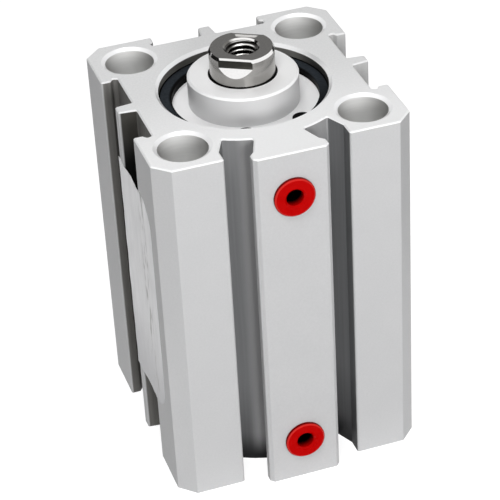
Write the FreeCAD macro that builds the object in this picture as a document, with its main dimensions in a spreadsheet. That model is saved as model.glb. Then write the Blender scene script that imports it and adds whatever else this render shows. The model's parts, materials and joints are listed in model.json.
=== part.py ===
"""Compact pneumatic cylinder, 25 mm bore by 30 mm stroke, rod drawn in.

An extruded square barrel with sensor slots, a stepped bore with a cover and a retaining ring at each
end, a two-piece magnetic piston on a rod with a tapped end, and a plastic dust plug in each air port.
Millimetres. The bore axis is Z, the barrel stands on z = 0, the rod points up, the ports face -Y.
"""
import FreeCAD, Part
import math
import os
import re
import Sketcher

# Driving sizes, in millimetres and degrees. Round sizes are diameters unless they say radius.
# A tapped hole is a plain bore of the thread's nominal size.
SIZES = {
    # Travel and bore
    "stroke": 30.0,
    "bore": 25.0,
    "seat_step": 0.5,
    "seat_depth": 6.0,
    "mouth_chamfer": 0.5,
    # Barrel section
    "body_width": 40.0,
    "corner_chamfer": 2.5,
    "edge_round": 0.25,
    "end_chamfer": 0.2,
    "slot_depth": 2.75,
    "slot_reach": 8.8,
    "slot_undercut": 0.7,
    "slot_lip": 1.5,
    "slot_lip_slope": 0.5,
    "slot_floor_reach": 9.2,
    "side_rib_width": 1.9,
    "side_rib_root": 2.5,
    "port_rib_rise": 2.0,
    "port_rib_width": 11.7,
    "port_rib_lip": 1.8,
    "port_rib_chamfer": 0.6,
    "port_rib_neck": 10.2,
    "port_rib_flare": 0.8,
    "port_rib_root": 8.0,
    "channel_width": 19.2,
    "channel_wall": 2.6,
    "channel_mouth_round": 0.4,
    "channel_floor_width": 16.4,
    "channel_floor_radius": 16.5,
    # Corner bolt holes
    "bolt_spacing": 28.0,
    "bolt_head_bore": 7.6,
    "bolt_head_depth": 6.5,
    "bolt_mouth_chamfer": 0.6,
    "bolt_mouth_depth": 0.4,
    "bolt_thread_bore": 6.0,
    "bolt_thread_depth": 17.0,
    "bolt_through_bore": 4.6,
    # Air ports and their dust plugs
    "port_inset": 7.4,
    "port_mouth": 5.5,
    "port_thread_bore": 5.0,
    "port_thread_depth": 5.5,
    "port_thread_height": 0.45,
    "air_bore": 2.6,
    "plug_flange": 6.4,
    "plug_flange_height": 0.7,
    "plug_flange_round": 0.3,
    "plug_length": 4.6,
    "plug_hole": 2.7,
    "plug_hole_depth": 3.8,
    "plug_gap": 0.05,
    # Retaining rings
    "cover_recess": 2.7,
    "circlip_thickness": 1.0,
    "circlip_groove": 0.6,
    "circlip_play": 0.1,
    "circlip_gap": 0.05,
    "circlip_width": 2.3,
    "circlip_taper": 0.6,
    "circlip_ear_reach": 0.95,
    "circlip_ear_margin": 0.3,
    "circlip_ear_hole": 1.2,
    "circlip_ear_spread": 46.0,
    "circlip_turn": -84.0,
    # Covers
    "cover_gap": 0.05,
    "cover_chamfer": 0.3,
    "o_ring_section": 1.35,
    "o_ring_gap": 0.03,
    "o_ring_room": 0.5,
    "front_nose": 4.6,
    "front_nose_width": 21.0,
    "boss_width": 17.0,
    "boss_rise": 2.0,
    "boss_chamfer": 0.3,
    "rear_nose": 2.8,
    "rear_nose_width": 19.2,
    # Rod guide
    "rod_gap": 0.05,
    "bush_wall": 1.0,
    "bush_length": 7.0,
    "bush_inset": 0.2,
    "rod_seal_wall": 2.2,
    "rod_seal_height": 2.8,
    "rod_seal_lip": 0.7,
    "wiper_land": 1.1,
    "wiper_gap": 0.25,
    # Piston
    "stop_gap": 0.1,
    "piston_length": 9.0,
    "piston_gap": 0.1,
    "piston_joint": 3.6,
    "run_gap": 0.05,
    "groove_land": 0.65,
    "seal_height": 2.1,
    "seal_depth": 2.4,
    "seal_lip": 0.8,
    "wear_height": 1.8,
    "wear_depth": 1.5,
    "wear_split": 1.0,
    "magnet_height": 1.8,
    "magnet_inner": 15.2,
    "magnet_wall": 2.75,
    "bumper_inner": 12.8,
    "bumper_width": 2.8,
    "bumper_thickness": 1.4,
    "bumper_proud": 0.7,
    "fit_gap": 0.02,
    # Rod
    "rod_width": 10.0,
    "rod_reach": 6.35,
    "rod_chamfer": 0.25,
    "rod_chamfer_height": 0.5,
    "rod_thread_bore": 5.0,
    "rod_thread_mouth": 5.6,
    "rod_thread_depth": 12.0,
    "rod_flat": 8.5,
    "rod_flat_length": 1.5,
    "rod_flat_slope": 1.8,
    "rod_flat_break": 0.25,
    "rod_turn": 59.0,
    "spigot_width": 6.0,
    "spigot_entry": 0.6,
    "spigot_o_ring": 0.9,
    # Piston screw
    "screw_head": 7.0,
    "screw_head_height": 2.0,
    "screw_inset": 0.1,
    "screw_shank": 4.0,
    "screw_length": 8.0,
    "screw_socket": 2.5,
    "screw_socket_depth": 1.2,
    "screw_gap": 0.1,
}

# Heights along the bore axis, from the rear end of the barrel.
REAR_STOP = "(seat_depth + rear_nose)"
PISTON_BASE = f"({REAR_STOP} + stop_gap + bumper_proud)"
PISTON_JOINT = f"({PISTON_BASE} + piston_joint)"
PISTON_TOP = f"({PISTON_BASE} + piston_length)"
FRONT_STOP = f"({PISTON_TOP} + bumper_proud + stroke + stop_gap)"
FRONT_LEDGE = f"({FRONT_STOP} + front_nose)"
BODY_LENGTH = f"({FRONT_LEDGE} + seat_depth)"

# Radii and part heights that several pieces share.
HALF = "(body_width / 2)"
PORT_FACE = f"({HALF} + port_rib_rise)"
SEAT = "(bore / 2 + seat_step)"
CIRCLIP_GROOVE = f"({SEAT} + circlip_groove)"
COVER = f"({SEAT} - cover_gap)"
COVER_HEIGHT = "(seat_depth - cover_recess)"
O_RING_CENTRE = f"({SEAT} - o_ring_gap - o_ring_section / 2)"
O_RING_FLOOR = f"({SEAT} - 2 * o_ring_gap - o_ring_section)"
O_RING_LOW = f"({COVER_HEIGHT} / 2 - o_ring_section / 2 - o_ring_room / 2)"
O_RING_HIGH = f"({COVER_HEIGHT} / 2 + o_ring_section / 2 + o_ring_room / 2)"
ROD = "(rod_width / 2)"
BUSH_BORE = f"({ROD} + rod_gap)"
BUSH = f"({BUSH_BORE} + bush_wall)"
WIPER_MOUTH = f"({ROD} + wiper_gap)"
BOSS_TOP = "(seat_depth + boss_rise)"
ROD_SEAL_TOP = f"({BOSS_TOP} - wiper_land)"
PISTON = "(bore / 2 - piston_gap)"
SEAL_ROOM = "(seal_height + 2 * run_gap)"
SEAL_FLOOR = f"({PISTON} - seal_depth)"
WEAR_ROOM = "(wear_height + 2 * run_gap)"
WEAR_FLOOR = f"({PISTON} - wear_depth)"
MAGNET_OUTER = "(magnet_inner / 2 + magnet_wall)"
BUMPER_INNER = "(bumper_inner / 2)"
BUMPER_OUTER = f"({BUMPER_INNER} + bumper_width)"
BUMPER_SINK = "(bumper_thickness - bumper_proud)"
PISTON_FRONT = "(piston_length - piston_joint)"
SPIGOT = "(spigot_width / 2)"
SPIGOT_HOLE = f"({SPIGOT} + fit_gap)"
SPIGOT_RING = f"({SPIGOT_HOLE} + spigot_o_ring + 2 * o_ring_gap)"
SPIGOT_RING_ROOM = "(spigot_o_ring + 2 * o_ring_gap)"
SCREW_SEAT = "(screw_head_height + screw_inset)"

# Two places nearer than this are taken as one.
SAME_PLACE = 1e-4

doc = FreeCAD.newDocument("compact_cylinder")
sheet = doc.addObject("Spreadsheet::Sheet", "Sizes")
pieces = []


def fill_sheet():
    """One row for each driving size: its name and its number."""
    for row, (name, number) in enumerate(SIZES.items(), start=1):
        sheet.set(f"A{row}", name)
        sheet.set(f"B{row}", str(number))
        sheet.setAlias(f"B{row}", name)
    doc.recompute()


def formula(text):
    """A size formula with each size word turned into a reference to its cell."""
    def cell(word):
        return "Sizes." + word.group() if word.group() in SIZES else word.group()
    return re.sub(r"[a-z_]+", cell, text)


def value(text):
    """The number that a size formula has now."""
    return float(sheet.evalExpression(formula(text)))


def origin(body, role):
    """One of a body's own origin planes or axes."""
    return next(feature for feature in body.Origin.OriginFeatures if feature.Role == role)


def new_body(label, height="0", turn="0"):
    """An empty body, raised along Z and turned about Z by formulas."""
    body = doc.addObject("PartDesign::Body", label)
    body.Label = label
    about_z = FreeCAD.Rotation(FreeCAD.Vector(0, 0, 1), value(turn))
    body.Placement = FreeCAD.Placement(FreeCAD.Vector(), about_z)
    body.setExpression(".Placement.Base.z", formula(height))
    body.setExpression(".Placement.Rotation.Angle", formula(turn) + " * 1 deg")
    pieces.append(body)
    return body


def new_sketch(body, name, role):
    sketch = body.newObject("Sketcher::SketchObject", name)
    sketch.AttachmentSupport = [(origin(body, role), "")]
    sketch.MapMode = "FlatFace"
    return sketch


def pin(sketch, geometry, point, x, y):
    """Hold one point of a sketch at a place given by two formulas."""
    for kind, text in (("DistanceX", x), ("DistanceY", y)):
        index = sketch.addConstraint(Sketcher.Constraint(kind, -1, 1, geometry, point, value(text)))
        sketch.setExpression(f"Constraints[{index}]", formula(text))


def add_loop(sketch, corners):
    """A closed outline of straight runs, each corner a pair of formulas."""
    first = sketch.GeometryCount
    count = len(corners)
    spots = [FreeCAD.Vector(value(x), value(y), 0) for x, y in corners]
    for i in range(count):
        sketch.addGeometry(Part.LineSegment(spots[i], spots[(i + 1) % count]))
    for i in range(count):
        sketch.addConstraint(Sketcher.Constraint("Coincident", first + i, 2, first + (i + 1) % count, 1))
    for i, (x, y) in enumerate(corners):
        pin(sketch, first + i, 1, x, y)


def add_circle(sketch, x, y, radius):
    centre = FreeCAD.Vector(value(x), value(y), 0)
    circle = sketch.addGeometry(Part.Circle(centre, FreeCAD.Vector(0, 0, 1), value(radius)))
    pin(sketch, circle, 3, x, y)
    index = sketch.addConstraint(Sketcher.Constraint("Radius", circle, value(radius)))
    sketch.setExpression(f"Constraints[{index}]", formula(radius))


def loops(body, name, role, outlines):
    """A sketch on an origin plane with one or more closed outlines."""
    sketch = new_sketch(body, name, role)
    for corners in outlines:
        add_loop(sketch, corners)
    return sketch


def pad(body, name, sketch, length):
    feature = body.newObject("PartDesign::Pad", name)
    feature.Profile = sketch
    feature.setExpression("Length", formula(length))
    doc.recompute()
    return feature


def cut(body, name, sketch, both_ways=False):
    """Cut a sketch right through the body, upwards or both ways, and see that it took material away."""
    before = body.Shape.Volume
    feature = body.newObject("PartDesign::Pocket", name)
    feature.Profile = sketch
    feature.Type = "ThroughAll"
    feature.Midplane = both_ways
    feature.Reversed = not both_ways
    doc.recompute()
    if body.Shape.Volume >= before:
        raise RuntimeError(f"{name} cut nothing")
    return feature


def turn(body, name, sketch, axis="V_Axis", remove=False):
    """Revolve a sketch a full turn about one of its axes, as added or removed material."""
    before = body.Shape.Volume if remove else 0.0
    feature = body.newObject("PartDesign::Groove" if remove else "PartDesign::Revolution", name)
    feature.Profile = sketch
    feature.ReferenceAxis = (sketch, [axis])
    feature.Angle = 360.0
    doc.recompute()
    if remove and body.Shape.Volume >= before:
        raise RuntimeError(f"{name} cut nothing")
    return feature


def polar(body, name, feature, count, angle):
    pattern = body.newObject("PartDesign::PolarPattern", name)
    pattern.Originals = [feature]
    pattern.Axis = (origin(body, "Z_Axis"), [""])
    pattern.Angle = angle
    pattern.Occurrences = count
    body.Tip = pattern
    doc.recompute()
    return pattern


def turned(label, corners, height="0"):
    """A piece turned about the bore axis from one outline of radius and height."""
    body = new_body(label, height)
    turn(body, label + "_turned", loops(body, label + "_profile", "XZ_Plane", [corners]))
    return body


def ring(label, inner, outer, thickness, height):
    """A plain ring with a rectangular section."""
    return turned(label, [(inner, "0"), (outer, "0"), (outer, thickness), (inner, thickness)], height)


def o_ring(label, centre, section, height):
    torus = doc.addObject("Part::Torus", label)
    torus.Label = label
    torus.setExpression("Radius1", formula(centre))
    torus.setExpression("Radius2", formula(f"({section}) / 2"))
    torus.setExpression(".Placement.Base.z", formula(height))
    pieces.append(torus)


def upright_edges(shape, least_bend=15.0):
    """Names of the edges along Z where the two faces meet at a corner, with each edge's place."""
    found = {}
    for number, edge in enumerate(shape.Edges, start=1):
        first, last = edge.Vertexes[0].Point, edge.Vertexes[-1].Point
        rise = abs(first.z - last.z)
        if rise > SAME_PLACE and first.sub(last).Length < rise + SAME_PLACE:
            middle = (first + last) * 0.5
            faces = shape.ancestorsOfType(edge, Part.Face)
            normals = [face.normalAt(*face.Surface.parameter(middle)) for face in faces]
            if math.degrees(normals[0].getAngle(normals[1])) > least_bend:
                found[f"Edge{number}"] = middle
    return found


def level_edges(shape):
    """Names of the edges that lie at one height along Z."""
    edges = enumerate(shape.Edges, start=1)
    return [f"Edge{number}" for number, edge in edges if edge.BoundBox.ZLength < SAME_PLACE]


def fillet(body, name, edges, radius):
    base = body.Tip
    feature = body.newObject("PartDesign::Fillet", name)
    feature.Base = (base, list(edges))
    feature.setExpression("Radius", formula(radius))
    doc.recompute()


def break_edges(body, name, edges, size):
    base = body.Tip
    feature = body.newObject("PartDesign::Chamfer", name)
    feature.Base = (base, list(edges))
    feature.setExpression("Size", formula(size))
    doc.recompute()


def side_slot(side):
    """One sensor slot on the +X face, on one side of the centre rib, with an undercut lip at the post."""
    floor = f"{HALF} - slot_depth"
    lip = f"{HALF} - slot_lip"
    rows = [
        (f"{HALF} + slot_depth", "side_rib_width / 2"),
        (HALF, "side_rib_width / 2"),
        (floor, "side_rib_root / 2"),
        (floor, "slot_floor_reach"),
        (f"{lip} - slot_lip_slope", "slot_reach + slot_undercut"),
        (lip, "slot_reach"),
        (f"{HALF} + slot_depth", "slot_reach"),
    ]
    return [(x, f"{side} * ({y})") for x, y in rows]


def port_channel(body):
    """The wide channel between the two posts of the port face, its floor round the bore."""
    sketch = new_sketch(body, "port_channel_profile", "XY_Plane")
    wide, floor = "channel_width / 2", "channel_floor_width / 2"
    floor_y = f"-sqrt(channel_floor_radius ^ 2 - ({floor}) ^ 2)"
    wall_y = f"channel_wall - {HALF}"
    mouth_y = f"-{HALF} - channel_wall"
    corners = [
        (f"-{floor}", floor_y),
        (f"-{wide}", wall_y),
        (f"-{wide}", mouth_y),
        (wide, mouth_y),
        (wide, wall_y),
        (floor, floor_y),
    ]
    spots = [FreeCAD.Vector(value(x), value(y), 0) for x, y in corners]
    runs = len(spots) - 1
    for i in range(runs):
        sketch.addGeometry(Part.LineSegment(spots[i], spots[i + 1]))
    deepest = FreeCAD.Vector(0, -value("channel_floor_radius"), 0)
    arc = sketch.addGeometry(Part.Arc(spots[0], deepest, spots[-1]))
    for i in range(runs - 1):
        sketch.addConstraint(Sketcher.Constraint("Coincident", i, 2, i + 1, 1))
    sketch.addConstraint(Sketcher.Constraint("Coincident", arc, 1, 0, 1))
    sketch.addConstraint(Sketcher.Constraint("Coincident", arc, 2, runs - 1, 2))
    for i in range(runs):
        pin(sketch, i, 1, *corners[i])
    pin(sketch, runs - 1, 2, *corners[-1])
    index = sketch.addConstraint(Sketcher.Constraint("Radius", arc, value("channel_floor_radius")))
    sketch.setExpression(f"Constraints[{index}]", formula("channel_floor_radius"))
    cut(body, "port_channel", sketch)


def port_rib(body):
    """The raised rib of the port face: a flared neck under a lip with chamfered front corners."""
    lip_y = f"port_rib_lip - {PORT_FACE}"
    half_outline = [
        ("port_rib_root / 2", "-(bore / 2 + channel_floor_radius) / 2"),
        ("port_rib_root / 2", "-channel_floor_radius"),
        ("port_rib_neck / 2", f"{lip_y} + port_rib_flare"),
        ("port_rib_width / 2", lip_y),
        ("port_rib_width / 2", f"port_rib_chamfer - {PORT_FACE}"),
        ("port_rib_width / 2 - port_rib_chamfer", f"-{PORT_FACE}"),
    ]
    outline = half_outline + [(f"-({x})", y) for x, y in reversed(half_outline)]
    pad(body, "port_rib", loops(body, "port_rib_profile", "XY_Plane", [outline]), BODY_LENGTH)


def barrel_section(body):
    """The extruded section: a chamfered square with slots on three sides and the port rib on the fourth."""
    flat = f"({HALF} - corner_chamfer)"
    square = [
        (flat, f"-{HALF}"), (HALF, f"-{flat}"), (HALF, flat), (flat, HALF),
        (f"-{flat}", HALF), (f"-{HALF}", flat), (f"-{HALF}", f"-{flat}"), (f"-{flat}", f"-{HALF}"),
    ]
    pad(body, "blank", loops(body, "blank_profile", "XY_Plane", [square]), BODY_LENGTH)
    slots = loops(body, "slot_profile", "XY_Plane", [side_slot(side) for side in (1, -1)])
    slotted_sides = 3
    polar(body, "slots", cut(body, "slot_pair", slots), slotted_sides, 180.0)
    port_channel(body)
    port_rib(body)
    mouth_x, mouth_y = value("channel_width / 2"), -value(HALF)
    mouth_edges = [name for name, spot in upright_edges(body.Shape).items()
                   if math.hypot(abs(spot.x) - mouth_x, spot.y - mouth_y) < SAME_PLACE]
    fillet(body, "channel_mouth_rounds", mouth_edges, "channel_mouth_round")
    fillet(body, "section_rounds", upright_edges(body.Shape), "edge_round")
    break_edges(body, "end_edges", level_edges(body.Shape), "end_chamfer")


def stepped_bore(body):
    """The bore with a cover seat, a retaining ring groove and a chamfered mouth at each end."""
    low_groove = "cover_recess - circlip_thickness - circlip_play"
    half_outline = [
        ("0", "0"),
        (f"{SEAT} + mouth_chamfer", "0"),
        (SEAT, "mouth_chamfer"),
        (SEAT, low_groove),
        (CIRCLIP_GROOVE, low_groove),
        (CIRCLIP_GROOVE, "cover_recess"),
        (SEAT, "cover_recess"),
        (SEAT, "seat_depth"),
        ("bore / 2", "seat_depth"),
    ]
    outline = half_outline + [(x, f"{BODY_LENGTH} - ({z})") for x, z in reversed(half_outline)]
    turn(body, "stepped_bore", loops(body, "bore_profile", "XZ_Plane", [outline]), remove=True)


def corner_holes(body):
    """Bolt holes in the four posts: head bore and thread from each end, and a clear hole between."""
    head, thread, through = "bolt_head_bore / 2", "bolt_thread_bore / 2", "bolt_through_bore / 2"
    half_outline = [
        ("0", "0"),
        (f"{head} + bolt_mouth_chamfer", "0"),
        (head, "bolt_mouth_depth"),
        (head, "bolt_head_depth"),
        (thread, "bolt_head_depth"),
        (thread, "bolt_thread_depth"),
        (through, "bolt_thread_depth"),
    ]
    outline = half_outline + [(x, f"{BODY_LENGTH} - ({z})") for x, z in reversed(half_outline)]
    sketch = loops(body, "bolt_hole_profile", "XZ_Plane", [outline])
    sketch.setExpression(".AttachmentOffset.Base.x", formula("bolt_spacing / 2"))
    sketch.setExpression(".AttachmentOffset.Base.z", formula("bolt_spacing / 2"))
    hole_count = 4
    polar(body, "bolt_holes", turn(body, "bolt_hole", sketch, remove=True), hole_count, 360.0)


def air_ports(body):
    """A tapped port near each end of the port rib, with an air hole on into the bore."""
    mouth, thread, air = "port_mouth / 2", "port_thread_bore / 2", "air_bore / 2"
    inside = "-bore / 2 + port_thread_bore"
    outline = [
        (f"-{PORT_FACE}", "0"),
        (f"-{PORT_FACE}", mouth),
        (f"-{PORT_FACE} + {mouth} - {thread}", thread),
        (f"-{PORT_FACE} + port_thread_depth", thread),
        (f"-{PORT_FACE} + port_thread_depth", air),
        (inside, air),
        (inside, "0"),
    ]
    sketch = loops(body, "port_profile", "YZ_Plane", [outline])
    sketch.setExpression(".AttachmentOffset.Base.y", formula("port_inset"))
    port = turn(body, "port", sketch, axis="H_Axis", remove=True)
    pattern = body.newObject("PartDesign::LinearPattern", "ports")
    pattern.Originals = [port]
    pattern.Direction = (origin(body, "Z_Axis"), [""])
    pattern.setExpression("Length", formula(f"{BODY_LENGTH} - 2 * port_inset"))
    pattern.Occurrences = 2
    body.Tip = pattern
    doc.recompute()


def cylinder_body():
    body = new_body("cylinder_body")
    barrel_section(body)
    stepped_bore(body)
    corner_holes(body)
    air_ports(body)


def rod_cover():
    """The front cover: nose in the bore, flange with a seal groove, boss round the rod."""
    nose = "front_nose_width / 2"
    boss = "boss_width / 2"
    bush_top = "bush_inset + bush_length - front_nose"
    seal_low = f"{ROD_SEAL_TOP} - rod_seal_height"
    turned("rod_cover", [
        (f"{BUSH} + fit_gap", "-front_nose"),
        (f"{nose} - cover_chamfer", "-front_nose"),
        (nose, "cover_chamfer - front_nose"),
        (nose, "0"),
        (f"{COVER} - cover_chamfer", "0"),
        (COVER, "cover_chamfer"),
        (COVER, O_RING_LOW),
        (O_RING_FLOOR, O_RING_LOW),
        (O_RING_FLOOR, O_RING_HIGH),
        (COVER, O_RING_HIGH),
        (COVER, COVER_HEIGHT),
        (boss, COVER_HEIGHT),
        (boss, f"{BOSS_TOP} - boss_chamfer"),
        (f"{boss} - boss_chamfer", BOSS_TOP),
        (WIPER_MOUTH, BOSS_TOP),
        (WIPER_MOUTH, ROD_SEAL_TOP),
        (f"{BUSH_BORE} + rod_seal_wall", ROD_SEAL_TOP),
        (f"{BUSH_BORE} + rod_seal_wall", seal_low),
        (WIPER_MOUTH, seal_low),
        (WIPER_MOUTH, bush_top),
        (f"{BUSH} + fit_gap", bush_top),
    ], FRONT_LEDGE)


def rod_bush():
    chamfer = "cover_chamfer"
    turned("rod_bush", [
        (f"{BUSH_BORE} + {chamfer}", "0"),
        (f"{BUSH} - {chamfer}", "0"),
        (BUSH, chamfer),
        (BUSH, "bush_length"),
        (f"{BUSH_BORE} + {chamfer}", "bush_length"),
        (BUSH_BORE, f"bush_length - {chamfer}"),
        (BUSH_BORE, chamfer),
    ], f"{FRONT_STOP} + bush_inset")


def cup_seal(label, near, far, height_size, lip, place, opens_up):
    """A cup seal: a ring with a V groove in the end that faces the pressure."""
    middle = f"(({near}) + ({far})) / 2"
    width = f"(({far}) - ({near}))"
    rows = [
        (near, "0"),
        (far, "0"),
        (far, height_size),
        (f"{far} - {width} / 4", height_size),
        (middle, f"{height_size} - {lip}"),
        (f"{near} + {width} / 4", height_size),
        (near, height_size),
    ]
    if not opens_up:
        rows = [(x, f"{height_size} - ({z})") for x, z in rows]
    turned(label, rows, place)


def rear_cover():
    """The rear cover: a disc with a seal groove and a nose that stops the piston."""
    nose = "rear_nose_width / 2"
    top = f"{COVER_HEIGHT} + rear_nose"
    turned("rear_cover", [
        ("0", "0"),
        (f"{COVER} - cover_chamfer", "0"),
        (COVER, "cover_chamfer"),
        (COVER, O_RING_LOW),
        (O_RING_FLOOR, O_RING_LOW),
        (O_RING_FLOOR, O_RING_HIGH),
        (COVER, O_RING_HIGH),
        (COVER, COVER_HEIGHT),
        (nose, COVER_HEIGHT),
        (nose, f"{top} - cover_chamfer"),
        (f"{nose} - cover_chamfer", top),
        ("0", top),
    ], "cover_recess")


def circlip(label, height):
    """An internal retaining ring: an open ring, widest opposite its gap, with a pierced ear at each end."""
    body = new_body(label, height, "circlip_turn")
    outer = f"({CIRCLIP_GROOVE} - circlip_gap)"
    inner = f"({outer} - circlip_width)"
    half_gap = "(circlip_ear_spread / 2)"
    sketch = new_sketch(body, label + "_ring", "XY_Plane")
    add_circle(sketch, "0", "0", outer)
    add_circle(sketch, "circlip_taper", "0", inner)
    pad(body, label + "_disc", sketch, "circlip_thickness")
    ear_sketch = new_sketch(body, label + "_ear_profile", "XY_Plane")
    hole_sketch = new_sketch(body, label + "_hole_profile", "XY_Plane")
    ear_radius = "((circlip_width + circlip_ear_reach - circlip_ear_margin) / 2)"
    ear_centre = f"({inner} - circlip_ear_reach + {ear_radius})"
    for side in (1, -1):
        across = f"{side} * {ear_centre} * sin({half_gap} * 1 deg)"
        along = f"{ear_centre} * cos({half_gap} * 1 deg)"
        add_circle(ear_sketch, along, across, ear_radius)
        add_circle(hole_sketch, along, across, "circlip_ear_hole / 2")
    open_angle = f"({half_gap} - {ear_radius} / {inner} * 90 / pi)"
    tip = f"({outer} / cos({open_angle} * 1 deg) + circlip_gap)"
    edge_x = f"{tip} * cos({open_angle} * 1 deg)"
    edge_y = f"{tip} * sin({open_angle} * 1 deg)"
    wedge = [("0", "0"), (edge_x, f"-1 * {edge_y}"), (edge_x, edge_y)]
    cut(body, label + "_gap", loops(body, label + "_gap_profile", "XY_Plane", [wedge]))
    pad(body, label + "_ears", ear_sketch, "circlip_thickness")
    cut(body, label + "_ear_holes", hole_sketch)


def port_plug(label, height):
    """A moulded dust plug pushed into a port: a hollow stem under a rounded flange."""
    body = new_body(label, height)
    outward = FreeCAD.Rotation(FreeCAD.Vector(1, 0, 0), 90)
    body.setExpression(".Placement.Rotation.Angle", None)
    body.Placement = FreeCAD.Placement(body.Placement.Base, outward)
    body.setExpression(".Placement.Base.y", formula(f"-{PORT_FACE}"))
    stem = "(port_thread_bore / 2 - port_thread_height - plug_gap)"
    flange = "(plug_flange / 2)"
    hole = "(plug_hole / 2)"
    corner = "plug_flange_round"
    tip_chamfer = "plug_flange_round"
    profile = loops(body, label + "_profile", "XZ_Plane", [[
        ("0", "-plug_length"),
        (f"{stem} - {tip_chamfer}", "-plug_length"),
        (stem, f"{tip_chamfer} - plug_length"),
        (stem, "0"),
        (flange, "0"),
        (flange, f"plug_flange_height - {corner}"),
        (f"{flange} - {corner}", "plug_flange_height"),
        (f"{hole} + {corner}", "plug_flange_height"),
        (hole, f"plug_flange_height - {corner}"),
        (hole, "plug_flange_height - plug_hole_depth"),
        ("0", "plug_flange_height - plug_hole_depth"),
    ]])
    turn(body, label + "_turned", profile)


def rod_flats(body):
    """Two wrench flats at the rod end, each with a broken edge above and running out on a slope below."""
    end = f"({BODY_LENGTH} + rod_reach)"
    flat, clear = "rod_flat / 2", f"({ROD} + rod_chamfer)"
    low = f"({end} - rod_flat_length)"
    rows = [
        (flat, low),
        (flat, f"{end} - rod_flat_break"),
        (f"{flat} - rod_flat_break", end),
        (f"{flat} - rod_flat_break", f"{end} + rod_chamfer"),
        (clear, f"{end} + rod_chamfer"),
        (clear, f"{low} - ({clear} - {flat}) * rod_flat_slope"),
    ]
    outlines = [[(f"{side} * ({x})", z) for x, z in rows] for side in (1, -1)]
    cut(body, "flats", loops(body, "flat_profile", "XZ_Plane", outlines), both_ways=True)


def piston_rod():
    """The rod: a spigot for the piston below, a tapped end with two wrench flats above."""
    body = new_body("piston_rod", "0", "rod_turn")
    end = f"({BODY_LENGTH} + rod_reach)"
    spigot_end = f"({PISTON_JOINT} - spigot_entry)"
    screw = "(screw_shank / 2 + fit_gap)"
    screw_hole_top = f"({PISTON_BASE} + {SCREW_SEAT} + screw_length + 2 * screw_gap)"
    thread, mouth = "rod_thread_bore / 2", "rod_thread_mouth / 2"
    outline = [
        (screw, spigot_end),
        (f"{SPIGOT} - cover_chamfer", spigot_end),
        (SPIGOT, f"{spigot_end} + cover_chamfer"),
        (SPIGOT, PISTON_TOP),
        (ROD, PISTON_TOP),
        (ROD, f"{end} - rod_chamfer_height"),
        (f"{ROD} - rod_chamfer", end),
        (mouth, end),
        (thread, f"{end} - ({mouth} - {thread})"),
        (thread, f"{end} - rod_thread_depth"),
        ("0", f"{end} - rod_thread_depth"),
        ("0", screw_hole_top),
        (screw, screw_hole_top),
    ]
    turn(body, "rod_turned", loops(body, "rod_profile", "XZ_Plane", [outline]))
    rod_flats(body)


def piston_rear():
    """The rear half of the piston: screw seat, cup seal groove, bumper recess."""
    groove_top = f"(groove_land + {SEAL_ROOM})"
    spigot_floor = "(piston_joint - spigot_entry - screw_gap)"
    turned("piston_rear", [
        ("screw_head / 2 + screw_gap", "0"),
        (f"{BUMPER_INNER} - fit_gap", "0"),
        (f"{BUMPER_INNER} - fit_gap", BUMPER_SINK),
        (f"{BUMPER_OUTER} + fit_gap", BUMPER_SINK),
        (f"{BUMPER_OUTER} + fit_gap", "0"),
        (PISTON, "0"),
        (PISTON, "groove_land"),
        (SEAL_FLOOR, "groove_land"),
        (SEAL_FLOOR, groove_top),
        (PISTON, groove_top),
        (PISTON, "piston_joint"),
        (SPIGOT_HOLE, "piston_joint"),
        (SPIGOT_HOLE, spigot_floor),
        ("screw_shank / 2 + screw_gap", spigot_floor),
        ("screw_shank / 2 + screw_gap", SCREW_SEAT),
        ("screw_head / 2 + screw_gap", SCREW_SEAT),
    ], PISTON_BASE)


def piston_front():
    """The front half of the piston: wear ring step, magnet recess, cup seal groove, bumper recess."""
    groove_low = f"({PISTON_FRONT} - groove_land - {SEAL_ROOM})"
    groove_top = f"({PISTON_FRONT} - groove_land)"
    bumper_floor = f"({PISTON_FRONT} - {BUMPER_SINK})"
    magnet_top = "(magnet_height + fit_gap)"
    turned("piston_front", [
        (SPIGOT_RING, "0"),
        ("magnet_inner / 2 - fit_gap", "0"),
        ("magnet_inner / 2 - fit_gap", magnet_top),
        (f"{MAGNET_OUTER} + fit_gap", magnet_top),
        (f"{MAGNET_OUTER} + fit_gap", "0"),
        (WEAR_FLOOR, "0"),
        (WEAR_FLOOR, WEAR_ROOM),
        (PISTON, WEAR_ROOM),
        (PISTON, groove_low),
        (SEAL_FLOOR, groove_low),
        (SEAL_FLOOR, groove_top),
        (PISTON, groove_top),
        (PISTON, PISTON_FRONT),
        (f"{BUMPER_OUTER} + fit_gap", PISTON_FRONT),
        (f"{BUMPER_OUTER} + fit_gap", bumper_floor),
        (f"{BUMPER_INNER} - fit_gap", bumper_floor),
        (f"{BUMPER_INNER} - fit_gap", PISTON_FRONT),
        (SPIGOT_HOLE, PISTON_FRONT),
        (SPIGOT_HOLE, SPIGOT_RING_ROOM),
        (SPIGOT_RING, SPIGOT_RING_ROOM),
    ], PISTON_JOINT)


def wear_ring():
    """A guide strip bent round the piston, with a split where its ends meet."""
    body = ring("wear_ring", f"{WEAR_FLOOR} + run_gap", "bore / 2 - run_gap", "wear_height",
                f"{PISTON_JOINT} + run_gap")
    split = [
        ("0", "-wear_split / 2"), ("bore", "-wear_split / 2"),
        ("bore", "wear_split / 2"), ("0", "wear_split / 2"),
    ]
    cut(body, "wear_ring_split", loops(body, "split_profile", "XY_Plane", [split]))


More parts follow.
